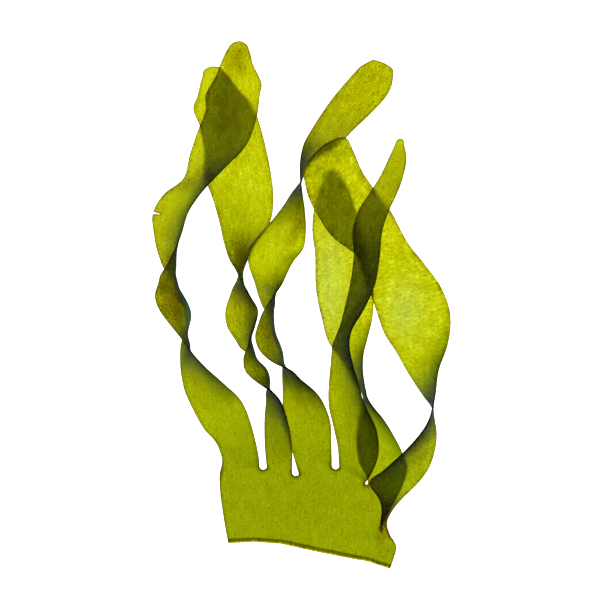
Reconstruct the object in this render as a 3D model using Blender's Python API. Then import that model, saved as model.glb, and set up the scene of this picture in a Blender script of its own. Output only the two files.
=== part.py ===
"""Kelp frond cut at the base: a flat palm and six long, twisting straps.

The frond lies on a surface at z = 0. Its length runs along +Y, the cut edge of
the palm is at -Y, and +Z points up from the surface. Each strap is a long leaf
between two margins. Stations give both margins in plan, the true width, the
height of the lower margin and how far the leaf bellies out between them.
"""
import bpy
import bmesh
import math
import numpy as np

# Driving dimensions, metres unless noted
LENGTH = 0.500
SHEET_LENGTH = 528.2
UNIT = LENGTH / SHEET_LENGTH
PALM_THICKNESS = 0.0021
STRAP_THICKNESS = 0.0015
TIP_THICKNESS = 0.0011
THINNING_ROWS = 10
CUT_BEVEL = 2.6
STUB = 4.5
SPLIT_GAP = 0.0004
FAN_GAP = 0.0012
PALM_ROWS = 7
FILLET_ROWS = 3
COLUMNS = 6
STRAP_ROWS = 44
TIP_ROWS = 4
KELP_COLOUR = (0.30, 0.36, 0.012, 1.0)

# Stations are laid out on a sheet of drawing units, x to the right and y down.
SHEET_X = 305.0
SHEET_Y = 305.0

# Seam lines of the palm, from the cut edge up to each notch bottom.
SEAMS = [
    [(228.7, 542.9), (226.7, 533.7), (223.4, 513.7), (220.2, 490.0), (219.8, 472.3)],
    [(254.0, 541.6), (259.0, 507.0), (263.3, 469.5)],
    [(281.0, 543.5), (289.0, 510.0), (295.7, 475.9)],
    [(316.0, 551.3), (326.0, 512.0), (335.6, 469.2)],
    [(347.0, 557.4), (356.0, 525.0), (366.0, 484.5)],
    [(368.0, 561.2), (374.0, 548.0), (380.5, 530.0)],
    [(389.7, 568.6), (393.7, 557.4), (396.0, 547.0), (391.5, 537.5)],
]

# Half width of each notch, drawing units. The outer sides have none.
NOTCH = [0.0, 4.0, 4.0, 4.0, 2.0, 1.0, 0.0]

# One row per station: margin a (x, y), margin b (x, y), true width, lower
# margin's height, belly. Margin b is the higher one where the width is
# positive, and margin a where it is negative.
STRAPS = {
    "strap_1": [
        (222.3, 463, 258.9, 461, 37, 0, 0.00),
        (219, 448, 256, 444, 39, 0, 0.00),
        (203, 427, 241, 402, 47, 0, 0.05),
        (192, 407, 224, 385, 47, 0, 0.11),
        (183.5, 386, 205, 368, 47, 0, 0.12),
        (180.3, 362, 192.5, 353, 47, 0, 0.06),
        (180.9, 345, 186, 344.5, 47, 0, 0.13),
        (183.7, 336, 179.6, 335.5, 47, 0, 0.12),
        (188, 327, 172.5, 327, 47, 0, 0.12),
        (190, 311, 158.5, 306, 47, 0, 0.15),
        (182, 294, 156.5, 292, 47, 0, 0.14),
        (175, 285, 158.8, 284, 47, 0, 0.20),
        (169, 276, 161, 275, 47, 0, 0.22),
        (163, 267, 166.5, 266.5, 47, 0, 0.24),
        (160, 259.5, 171, 257.5, 47, 0, 0.22),
        (157, 250, 175.5, 249, 47, 0, 0.19),
        (154, 234, 181, 234, 47, 0, 0.13),
        (153.3, 212, 187.5, 213, 47, 0, 0.15),
        (164.5, 195, 196.5, 199.5, 47, 0, 0.14),
        (183.5, 178.5, 208, 185.5, 48, 1, 0.10),
        (190, 155, 224, 169, 50, 3, 0.09),
        (198.5, 130, 247, 144, 54, 5, 0.03),
        (206, 110, 257, 115, 53, 5, 0.00),
        (207, 92, 261.5, 92, 55, 5, 0.00),
        (215.5, 79, 260, 78, 45, 5, 0.00),
        (220.5, 65, 254, 65, 34, 5, 0.00),
        (226, 52, 250, 52, 24, 5, 0.00),
        11.5,
    ],
    "strap_2": [
        (265, 442, 291, 440, 30, 0, 0.00),
        (264.8, 418, 286, 417, 36, 0, 0.06),
        (266.3, 400, 278, 398, 40, 0, 0.06),
        (266.4, 392, 270, 390, 42, 0, 0.04),
        (268.6, 385, 262.5, 385.5, 43, 0, 0.07),
        (269, 378, 251, 377, 44, 0, 0.10),
        (266, 369.5, 245.5, 370.5, 44, 0, 0.10),
        (258, 362, 243.8, 362, 44, 0, 0.10),
        (249, 354, 244.4, 355, 44, 0, 0.18),
        (242.3, 348.5, 247.3, 348, 45, 0, 0.19),
        (236.8, 340, 249.8, 339.5, 45, 0, 0.15),
        (227.5, 327, 255, 325, 45, 0, 0.14),
        (225.5, 311, 257.5, 310, 45, 0, 0.11),
        (230, 296, 250.5, 297, 45, 0, 0.08),
        (233.3, 287, 244.8, 286.5, 45, 0, 0.07),
        (236.6, 281, 241.3, 281, 45, 0, 0.09),
        (238.3, 276, 239, 276, 46, 0, 0.09),
        (241.5, 270, 235.3, 268.5, 46, 0, 0.10),
        (247, 260, 231, 262, 48, 0, 0.10),
        (256, 243, 224.5, 243, 50, 0, 0.07),
        (269, 224, 220.5, 225, 57, 0, 0.03),
        (273, 199, 213.5, 200, 61, 0, 0.00),
        (270.5, 176, 205, 176, 65, 0, 0.00),
        (265, 148, 204.5, 150, 60, 0, 0.00),
        (260, 128, 200, 126, 60, 0, 0.00),
        (251.5, 105, 194, 106, 57, 0, 0.00),
        (241, 94, 197.5, 90, 43, 0, 0.00),
        (230, 78.5, 202, 79, 28, 0, 0.00),
        (220, 70, 204.5, 71, 15, 0, 0.00),
        4.5,
    ],
    "strap_3": [
        (293.5, 455, 331, 444, 40, 0, 0.00),
        (286.5, 428, 329.5, 420, 45, 0, 0.04),
        (283, 405, 317, 394, 45, 0, 0.11),
        (282.8, 388, 301, 380, 46, 0, 0.08),
        (282.5, 373, 291, 370.5, 46, 0, 0.03),
        (282.8, 366.5, 283.8, 367, 46, 0, 0.03),
        (283, 360, 273, 362, 46, 0, 0.08),
        (282, 352, 262.5, 353.5, 46, 0, 0.10),
        (275.5, 335, 255.5, 336, 46, 0, 0.12),
        (271.5, 322, 259.2, 322, 46, 0, 0.15),
        (268, 313, 261.8, 314.5, 46, 0, 0.18),
        (262.8, 307, 266, 307, 46, 0, 0.21),
        (260, 300, 270.7, 300, 47, 0, 0.19),
        (257.7, 293, 275.8, 292.5, 47, 0, 0.13),
        (255.5, 285, 280, 287, 47, 5, 0.11),
        (248.5, 262, 293.5, 261, 50, 12, 0.06),
        (249, 251, 302, 248, 55, 13, 0.02),
        (258, 237, 305, 230, 52, 11, 0.05),
        (271, 222, 304.5, 210, 50, 6, 0.06),
        (284, 205, 302.5, 196, 48, 3, 0.05),
        (292.5, 192, 301.3, 187, 48, 2, 0.03),
        (300.4, 182, 300.6, 182, 47, 1, 0.02),
        (306.5, 168, 300.3, 164, 43, 0.5, -0.01),
        (317, 154.5, 303.5, 146, 42, 0.5, 0.00),
        (332, 144, 313, 128, 42, 0.5, 0.04),
        (351, 130.5, 324, 111, 42, 0.5, 0.03),
        (370, 112.5, 336, 94.5, 42, 0.5, 0.02),
        (384.5, 97, 348, 80.5, 41, 0.5, 0.00),
        (392, 83, 361, 66.5, 35, 0.5, 0.00),
        (393, 71.5, 370.5, 61, 24, 0.5, 0.00),
        4.0,
    ],
    "strap_4": [
        (339, 460, 369.5, 476, 36, 0.5, 0.00),
        (338, 447, 377, 459, 42, 1.5, 0.00),
        (334, 428, 377, 434, 47, 1.5, 0.05),
        (329, 405, 366.5, 409, 45, 2, 0.10),
        (328.5, 394, 362, 399, 44, 2, 0.11),
        (329, 384, 359, 387, 43, 2, 0.12),
        (331, 362, 352, 364, 42, 3, 0.10),
        (333, 344, 348.5, 345, 41, 5, 0.10),
        (340, 326, 351, 330, 40, 8, 0.08),
        (345, 307, 361, 313, 39, 9, 0.08),
        (350.5, 283, 373.5, 287, 38, 10, 0.08),
        (354, 255, 379, 258, 37, 10.5, 0.06),
        (353, 230, 382, 230, 36, 12, 0.05),
        (358.5, 211, 388, 212, 35, 14, 0.05),
        (370, 193, 396, 195, 33, 16, 0.04),
        (381, 175, 402, 177, 28, 15, 0.02),
        (389.5, 157, 405.5, 158, 20, 11, 0.00),
        (395.3, 144.5, 403.7, 144.5, 9, 8, 0.00),
        6.0,
    ],
    "strap_5": [
        (367.2, 478, 385.5, 517, 41, 0, 0.00),
        (364.3, 472, 393.5, 502.5, 41, 0, 0.00),
        (360, 464, 402, 486, 47, 0, 0.00),
        (358, 455, 407, 468, 50, 0, 0.00),
        (357, 443, 402, 453, 47, 0, 0.04),
        (357.5, 430, 394, 437, 42, 0, 0.06),
        (359, 418, 382, 418, 38, 0, 0.06),
        (362, 407, 372.5, 406.5, 34, 0, 0.04),
        (363.8, 398.5, 367.5, 398, 32, 0, 0.00),
        (362.3, 389, 365.2, 389, 32, 0, 0.00),
        (358.6, 379, 362.8, 379, 32, 0, 0.02),
        (351, 369, 361.8, 367.5, 36, 0, 0.05),
        (341, 358, 363, 354, 39, 0, 0.08),
        (331, 346, 366, 342, 43, 0, 0.09),
        (322.5, 320, 372, 318, 50, 0, 0.03),
        (317, 292, 373, 292, 56, 0, 0.00),
        (316, 254, 366.5, 252, 50, 0, 0.00),
        (313, 227, 358, 219, 45, 0, 0.00),
        (315, 205, 350.5, 196, 36, 0, 0.00),
        (319, 190, 344.5, 184, 26, 0, 0.00),
        (323.5, 177, 338, 173, 15, 0, 0.00),
        5.0,
    ],
    "strap_6": [
        (381.2, 522, 386.5, 525, -15, 0, 0.00),
        (382, 511, 391, 512, -26, 0, 0.00),
        (379, 498, 401.5, 499, -37, 0, 0.02),
        (369.5, 484, 414, 487, -50, 0, 0.04),
        (384, 470, 427, 471, -50, 0, 0.06),
        (404.5, 453.5, 435, 449, -50, 0, 0.10),
        (420.5, 434, 436.3, 431, -50, 0, 0.05),
        (429, 419, 434, 417, -50, 0, 0.03),
        (431.7, 408, 432.2, 408, -50, 0, -0.02),
        (434.2, 396, 423.5, 396, -50, 0, -0.03),
        (438, 369, 407, 371, -53, 0.5, -0.10),
        (447, 344, 397, 353, -59, 1, -0.09),
        (450, 316, 385, 334, -68, 3, -0.02),
        (441, 288, 376, 309, -68, 5, 0.00),
        (424, 264, 367, 282, -59, 6, 0.00),
        (405, 239, 357, 256, -50, 6, 0.00),
        (392, 214, 349, 249, -55, 7, 0.00),
        (376, 192, 333, 237, -62, 9, 0.00),
        (362, 172, 319, 217, -62, 13, 0.00),
        (355, 156, 309, 198, -62, 18, 0.00),
        (349, 142.5, 304, 177.5, -57, 25, 0.00),
        14.0,
    ],
}


def hermite(knots, values, at, flat_start=False):
    """Smooth curve through the values, each span a cubic with parabola slopes."""
    step = np.diff(knots)
    rise = np.diff(values, axis=0) / step[:, None]
    slope = np.empty_like(values)
    weight = (step[1:] / (step[1:] + step[:-1]))[:, None]
    slope[1:-1] = rise[:-1] * weight + rise[1:] * (1.0 - weight)
    slope[0] = 1.5 * rise[0] - 0.5 * slope[1]
    slope[-1] = 1.5 * rise[-1] - 0.5 * slope[-2]
    if flat_start:
        slope[0, 2] = 0.0
        slope[0, 5] = 0.0
    span = np.clip(np.searchsorted(knots, at, side="right") - 1, 0, len(step) - 1)
    width = step[span]
    u = ((at - knots[span]) / width)[:, None]
    width = width[:, None]
    return (
        values[span] * (1.0 + 2.0 * u) * (1.0 - u) ** 2
        + slope[span] * width * u * (1.0 - u) ** 2
        + values[span + 1] * u * u * (3.0 - 2.0 * u)
        + slope[span + 1] * width * u * u * (u - 1.0)
    )


def seam_points(seam, v):
    """Points along one seam at shares v of its length."""
    points = np.array(seam, dtype=float)
    knots = np.concatenate([[0.0], np.cumsum(np.hypot(*np.diff(points, axis=0).T))])
    if len(points) == 3:
        a, b, c = points
        mid = knots[1] / knots[2]
        u = v[:, None]
        bend = (b - a * (1.0 - mid) - c * mid) / (mid * (1.0 - mid))
        return a * (1.0 - u) + c * u + bend * u * (1.0 - u)
    return hermite(knots, points, v * knots[-1])


def margins(index, rows):
    """Both margins of a strap as control rows, with knots along its midline.

    The margins' heights come from the true width: the plan distance between
    the margins and their difference in height are the legs of a right angle.
    """
    left = np.array(SEAMS[index][-1]) + (NOTCH[index], 0.0)
    right = np.array(SEAMS[index + 1][-1]) - (NOTCH[index + 1], 0.0)
    control = [[left[0], left[1], 0.0, right[0], right[1], 0.0, 0.0]]
    for ax, ay, bx, by, width, lift, belly in rows:
        flat = math.hypot(bx - ax, by - ay)
        high = math.sqrt(max(width * width - flat * flat, 0.0))
        a_up = high if width < 0 else 0.0
        b_up = high if width > 0 else 0.0
        control.append([ax, ay, lift + a_up, bx, by, lift + b_up, belly])
    control = np.array(control, dtype=float)
    middle = 0.5 * (control[:, 0:3] + control[:, 3:6])
    steps = np.linalg.norm(np.diff(middle, axis=0), axis=1)
    return control, np.concatenate([[0.0], np.cumsum(np.maximum(steps, 4.0))])


def strap_surface(index, name, at, columns, tip_rows):
    """Mid surface of a strap in drawing units, as rows from its root to its tip.

    Rows stand at distances from the root line, then tip_rows more make the tip.

    A row runs straight from margin a to margin b, plus a belly of
    4 t (1 - t) across it. Below the notch radius the margins close in on the
    notch bottom along a quarter circle. The tip is half an ellipse.
    """
    rows = STRAPS[name][:-1]
    tip = STRAPS[name][-1]
    control, knots = margins(index, rows)
    curve = hermite(knots, control, at, flat_start=True)
    a = curve[:, 0:3].copy()
    b = curve[:, 3:6].copy()
    belly = curve[:, 6].copy()
    a[:, 2] = np.maximum(a[:, 2], 0.0)
    b[:, 2] = np.maximum(b[:, 2], 0.0)
    for margin, seam, start in ((a, index, control[0, 0:2]), (b, index + 1, control[0, 3:5])):
        radius = NOTCH[seam]
        if radius > 0.0:
            near = np.clip(1.0 - at / radius, 0.0, 1.0)
            pull = 1.0 - np.sqrt(1.0 - near * near)
            margin[:, 0:2] += pull[:, None] * (np.array(SEAMS[seam][-1]) - start)
    last = 0.5 * (a[-1] + b[-1])
    before = 0.5 * (control[-2, 0:3] + control[-2, 3:6])
    heading = last - before
    heading[2] = 0.0
    heading /= np.linalg.norm(heading)
    turn = np.radians(90.0 * np.arange(1, tip_rows + 1) / tip_rows)
    turn[-1] = math.radians(84.0)
    tip_mid = last + heading * (tip * np.sin(turn) / math.sin(turn[-1]))[:, None]
    half = 0.5 * (b[-1] - a[-1])
    tip_a = tip_mid - half * np.cos(turn)[:, None]
    tip_b = tip_mid + half * np.cos(turn)[:, None]
    a = np.vstack([a, tip_a])
    b = np.vstack([b, tip_b])
    belly = np.concatenate([belly, np.zeros(tip_rows)])
    share = np.linspace(0.0, 1.0, columns + 1)
    chord = b - a
    forward = np.gradient(0.5 * (a + b), axis=0)
    out = np.cross(forward * (1.0, -1.0, 1.0), chord * (1.0, -1.0, 1.0)) * (1.0, -1.0, 1.0)
    size = np.linalg.norm(out, axis=1)[:, None]
    out = out / np.maximum(size, 1e-9) * np.linalg.norm(chord, axis=1)[:, None]
    t = share[None, :, None]
    sheet = a[:, None, :] + chord[:, None, :] * t
    sheet += (out * belly[:, None])[:, None, :] * (4.0 * t * (1.0 - t))
    sheet[:, :, 2] += relief(sheet[:, :, 0], sheet[:, :, 1])
    return sheet


def relief(x, y):
    """Height of the palm's surface above its flat rest, drawing units."""
    pucker = 2.2 * np.exp(-(((x - 381.0) / 4.0) ** 2 + ((y - 536.0) / 6.0) ** 2))
    corner = 2.0 * np.exp(-(((x - 396.0) / 9.0) ** 2 + ((y - 553.0) / 12.0) ** 2))
    return pucker + corner


def palm_rows():
    """Mid surface of the palm: PALM_ROWS + 1 rows of six strips side by side."""
    v = np.linspace(0.0, 1.0, PALM_ROWS + 1)
    lines = [seam_points(seam, v) for seam in SEAMS]
    strips = []
    for index in range(6):
        t = np.linspace(0.0, 1.0, COLUMNS + 1)[None, :, None]
        flat = lines[index][:, None, :] * (1.0 - t) + lines[index + 1][:, None, :] * t
        strips.append(flat)
    return strips


def to_metres(points, thickness):
    """Drawing units to metres: y runs up, and the leaf rests on the surface."""
    out = np.empty_like(points)
    out[..., 0] = (points[..., 0] - SHEET_X) * UNIT
    out[..., 1] = (SHEET_Y - points[..., 1]) * UNIT
    out[..., 2] = points[..., 2] * UNIT + 0.5 * thickness
    return out


def leaf_thickness(row, rows):
    """Thickness falls quickly out of the palm, then evenly to the tip."""
    even = STRAP_THICKNESS + (TIP_THICKNESS - STRAP_THICKNESS) * row / rows
    return even + (PALM_THICKNESS - STRAP_THICKNESS) * np.exp(-((row / THINNING_ROWS) ** 2))


def grid_normals(points):
    """Unit normals of a grid of points, facing up where the grid lies flat."""
    along = np.gradient(points, axis=0)
    across = np.gradient(points, axis=1)
    normal = np.cross(across, along)
    return normal / np.maximum(np.linalg.norm(normal, axis=2), 1e-12)[:, :, None]


def kelp_material(name):
    """Plain kelp green for one node."""
    material = bpy.data.materials.new(name + "_kelp")
    material.use_nodes = True
    shader = material.node_tree.nodes["Principled BSDF"]
    shader.inputs["Base Color"].default_value = KELP_COLOUR
    shader.inputs["Roughness"].default_value = 0.45
    shader.inputs["Metallic"].default_value = 0.0
    return material


def add_solid(name, top, bottom, faces):
    """Closed body between a top and a bottom sheet that share one face list."""
    edges = {}
    for face in faces:
        for start, end in zip(face, face[1:] + face[:1]):
            edges[(start, end)] = edges.get((start, end), 0) + 1
    rim = [edge for edge in edges if (edge[1], edge[0]) not in edges]
    mesh = bpy.data.meshes.new(name)
    body = bmesh.new()
    upper = [body.verts.new(point) for point in top]
    lower = [body.verts.new(point) for point in bottom]
    for face in faces:
        body.faces.new([upper[i] for i in face])
        body.faces.new([lower[i] for i in reversed(face)])
    for start, end in rim:
        body.faces.new([upper[end], upper[start], lower[start], lower[end]])
    bmesh.ops.triangulate(body, faces=body.faces)
    bmesh.ops.recalc_face_normals(body, faces=body.faces)
    body.to_mesh(mesh)
    body.free()
    item = bpy.data.objects.new(name, mesh)
    bpy.context.scene.collection.objects.link(item)
    mesh.materials.append(kelp_material(name))
    return item


def build_palm():
    """The palm with its six stubs, flat below, with a bevelled cut edge."""
    strips = palm_rows()
    sweep = np.radians(np.linspace(0.0, 90.0, FILLET_ROWS + 1))[1:]
    stub_at = np.append(STUB * (1.0 - np.cos(sweep)), STUB + 1.0)
    points = []
    offsets = []
    bevel = []
    faces = []
    lookup = {}
    for index, name in enumerate(STRAPS):
        flat = strips[index]
        height = relief(flat[:, :, 0], flat[:, :, 1])
        low = np.dstack([flat, height])
        stub = strap_surface(index, name, stub_at, COLUMNS, TIP_ROWS)[:FILLET_ROWS + 1]
        grid = to_metres(np.vstack([low, stub]), PALM_THICKNESS)
        normal = grid_normals(grid)[:-1]
        grid = grid[:-1]
        ids = np.empty(grid.shape[:2], dtype=int)
        for r in range(grid.shape[0]):
            for c in range(COLUMNS + 1):
                side = index if c == 0 else index + 1
                shared = c in (0, COLUMNS) and r <= PALM_ROWS
                key = ("seam", side, r) if shared else (index, r, c)
                if key not in lookup:
                    lookup[key] = len(points)
                    points.append(grid[r, c])
                    offsets.append(np.zeros(3))
                    bevel.append(r == 0)
                ids[r, c] = lookup[key]
                offsets[lookup[key]] = offsets[lookup[key]] + normal[r, c]
        for r in range(grid.shape[0] - 1):
            for c in range(COLUMNS):
                faces.append((ids[r, c], ids[r, c + 1], ids[r + 1, c + 1], ids[r + 1, c]))
    points = np.array(points)
    offsets = np.array(offsets)
    offsets /= np.linalg.norm(offsets, axis=1)[:, None]
    top = points + offsets * 0.5 * PALM_THICKNESS
    bottom = points - offsets * 0.5 * PALM_THICKNESS
    top[np.array(bevel), 1] += CUT_BEVEL * UNIT
    return add_solid("palm", top, bottom, faces)


def build_strap(index, name):
    """One strap, from just above the split to its tip."""
    control, knots = margins(index, STRAPS[name][:-1])
    first = STUB + (FAN_GAP if name == "strap_5" else SPLIT_GAP) / UNIT
    at = first + (knots[-1] - first) * np.linspace(0.0, 1.0, STRAP_ROWS + 1)
    at = np.insert(at, 0, first - 1.0)
    surface = strap_surface(index, name, at, COLUMNS, TIP_ROWS)
    rows = surface.shape[0] - 1
    thickness = leaf_thickness(np.arange(-1, rows), rows - 1)[:, None]
    grid = to_metres(surface, thickness)
    normal = grid_normals(grid)[1:]
    grid = grid[1:]
    thickness = thickness[1:, :, None]
    top = (grid + normal * 0.5 * thickness).reshape(-1, 3)
    bottom = (grid - normal * 0.5 * thickness).reshape(-1, 3)
    bottom[:, 2] = np.maximum(bottom[:, 2], 0.0)
    wide = COLUMNS + 1
    faces = []
    for r in range(rows - 1):
        for c in range(COLUMNS):
            low = r * wide + c
            faces.append((low, low + 1, low + wide + 1, low + wide))
    return add_solid(name, top, bottom, faces)


def settle(items):
    """Centre the frond over the origin and stand its lowest point at z = 0."""
    corners = np.array([v.co[:] for item in items for v in item.data.vertices])
    low = corners.min(axis=0)
    high = corners.max(axis=0)
    shift = np.array([-(low[0] + high[0]) / 2.0, -(low[1] + high[1]) / 2.0, 0.0])
    for item in items:
        for vertex in item.data.vertices:
            vertex.co = (vertex.co[0] + shift[0], vertex.co[1] + shift[1], vertex.co[2])
    return shift


def build():
    """Build the seven nodes of the frond."""
    for item in list(bpy.data.objects):
        bpy.data.objects.remove(item, do_unlink=True)
    items = [build_palm()]
    for index, name in enumerate(STRAPS):
        items.append(build_strap(index, name))
    return settle(items)


CENTRE_SHIFT = build()
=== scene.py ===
"""Cut kelp frond lying on a light table: a palm and six twisting straps.

The whole leaf is one closed skin. Its middle sheet is worked out from margin
stations, then a top and a bottom sheet stand half a thickness off it and meet
along the rounded margins.

Places and lengths are in drawing units, with x to the right and y down, where
no comment says metres.
"""
import math

import bpy
import numpy as np
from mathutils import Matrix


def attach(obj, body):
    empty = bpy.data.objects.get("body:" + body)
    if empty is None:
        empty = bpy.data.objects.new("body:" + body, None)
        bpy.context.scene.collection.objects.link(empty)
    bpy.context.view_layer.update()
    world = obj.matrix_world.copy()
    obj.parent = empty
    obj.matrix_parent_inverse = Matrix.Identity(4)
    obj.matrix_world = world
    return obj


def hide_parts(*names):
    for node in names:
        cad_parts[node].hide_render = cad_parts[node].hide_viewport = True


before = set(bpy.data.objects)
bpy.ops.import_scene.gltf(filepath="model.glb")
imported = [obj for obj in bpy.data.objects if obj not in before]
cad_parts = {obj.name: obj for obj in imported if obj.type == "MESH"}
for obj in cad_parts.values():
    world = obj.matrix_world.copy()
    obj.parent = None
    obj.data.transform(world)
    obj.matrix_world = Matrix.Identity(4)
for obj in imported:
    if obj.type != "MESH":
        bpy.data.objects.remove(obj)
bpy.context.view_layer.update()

# One drawing unit, and the thickness of the leaf in the palm, at the foot of a
# strap and at its tip, metres
UNIT = 0.500 / 528.2
PALM_THICKNESS = 0.0021
STRAP_THICKNESS = 0.0015
TIP_THICKNESS = 0.0011

# Length over which the palm's thickness fades into a strap
THINNING = 85.0

# The cut edge: how far its upper side stands back, over what length, the
# shares of the height at which it has rows, and how far these bulge, metres
CUT_SLANT = 2.6
CUT_REACH = 8.0
CUT_LEVELS = (0.3, 0.65)
CUT_BULGE = 0.00012

# Middle of the drawing, and where it lies on the table, metres
SHEET = 305.0
SHIFT = (0.00355735, -0.00045826)

# Rows of the palm: its nominal length, the count of its rows, the rows next to
# the cut, and the length that spaces the rows next to the root line
PALM_RUN = 75.0
PALM_STEPS = 22
CUT_ROWS = (0.0, 0.8, 1.6, 2.4, 3.2, 4.0, 5.0, 6.5)
ROOT_SPACING = 40.0

# Rows of a strap: their pitch, those in a notch's rounding as shares of its
# radius, the shortest step between two stations, and the rows of the tip, its
# arc in degrees and its least width as a share
ROW_PITCH = 2.4
NOTCH_STEPS = (0.0, 0.02, 0.08, 0.18, 0.32, 0.5, 0.75, 1.0)
SHORTEST_STEP = 4.0
TIP_STEPS = 12
TIP_ARC = 86.0
TIP_BLUNT = 0.07

# Columns: the inner ones, the radius of the round rim, the places of its
# columns in radii, and the least width that has room for them, in their reach
INNER_COLUMNS = 16
RIM = 1.25
RIM_STEPS = (0.0, 0.07, 0.28, 0.62, 1.05)
RIM_ROOM = 6.0

# Least distances that count: to a margin, and lengths that divide
TOUCHING = 1e-6
TINY = 1e-12

# A short tear across the left margin of one strap: its place along the sheet,
# depth, half width, fading length, rows, and the room that these take
TEAR_STRAP = "strap_1"
TEAR_AT = 213.0
TEAR_DEPTH = 7.0
TEAR_WIDTH = 0.6
TEAR_FADE = 10.0
TEAR_ROWS = (-1.8, -1.2, -0.8, -0.5, -0.25, 0.0, 0.25, 0.5, 0.8, 1.2, 1.8)
TEAR_ROOM = 2.2

# How far the margins and the cut edge stand outside their stations, the length
# over which a strap's margins start to, and the share of the palm over which
# its outer sides stop doing so
MARGIN_GROWTH = 0.45
CUT_GROWTH = 0.54
GROWTH_START = 3.0
GROWTH_END = 0.05

# How pointed a tip is: two is half an ellipse, less is more pointed
ROUND_TIP = 2.0
TIP_POWERS = {"strap_1": 1.35}

# Creases along a strap: y, half length, height over the true width, and share
# of the width at which the ridge stands
CREASES = {
    "strap_1": ((310, 15, 0.15, 0.5625),),
    "strap_2": ((374, 10, 0.08, 0.5), (312, 14, 0.05, 0.4375)),
    "strap_3": ((345, 16, 0.08, 0.5),),
}

# Humps of the palm: x, y, half width, half length and height of a pucker under
# the last notch and of a lifted corner
HUMPS = ((381.0, 536.0, 4.0, 6.0, 2.2), (396.0, 553.0, 9.0, 12.0, 2.0))

# Seam lines of the palm, from the cut edge up to each notch bottom. The sheet
# they are laid out on has x to the right and y down.
SEAMS = [
    [(228.7, 542.9), (226.7, 533.7), (223.4, 513.7), (220.2, 490.0), (219.8, 472.3)],
    [(254.0, 541.6), (259.0, 507.0), (263.3, 469.5)],
    [(281.0, 543.5), (289.0, 510.0), (295.7, 475.9)],
    [(316.0, 551.3), (326.0, 512.0), (335.6, 469.2)],
    [(347.0, 557.4), (356.0, 525.0), (366.0, 484.5)],
    [(368.0, 561.2), (374.0, 548.0), (380.5, 530.0)],
    [(389.7, 568.6), (393.7, 557.4), (396.0, 547.0), (391.5, 537.5)],
]

# Half width of each notch. The outer sides have none.
NOTCH = [0.0, 4.0, 4.0, 4.0, 2.0, 0.2, 0.0]

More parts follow.
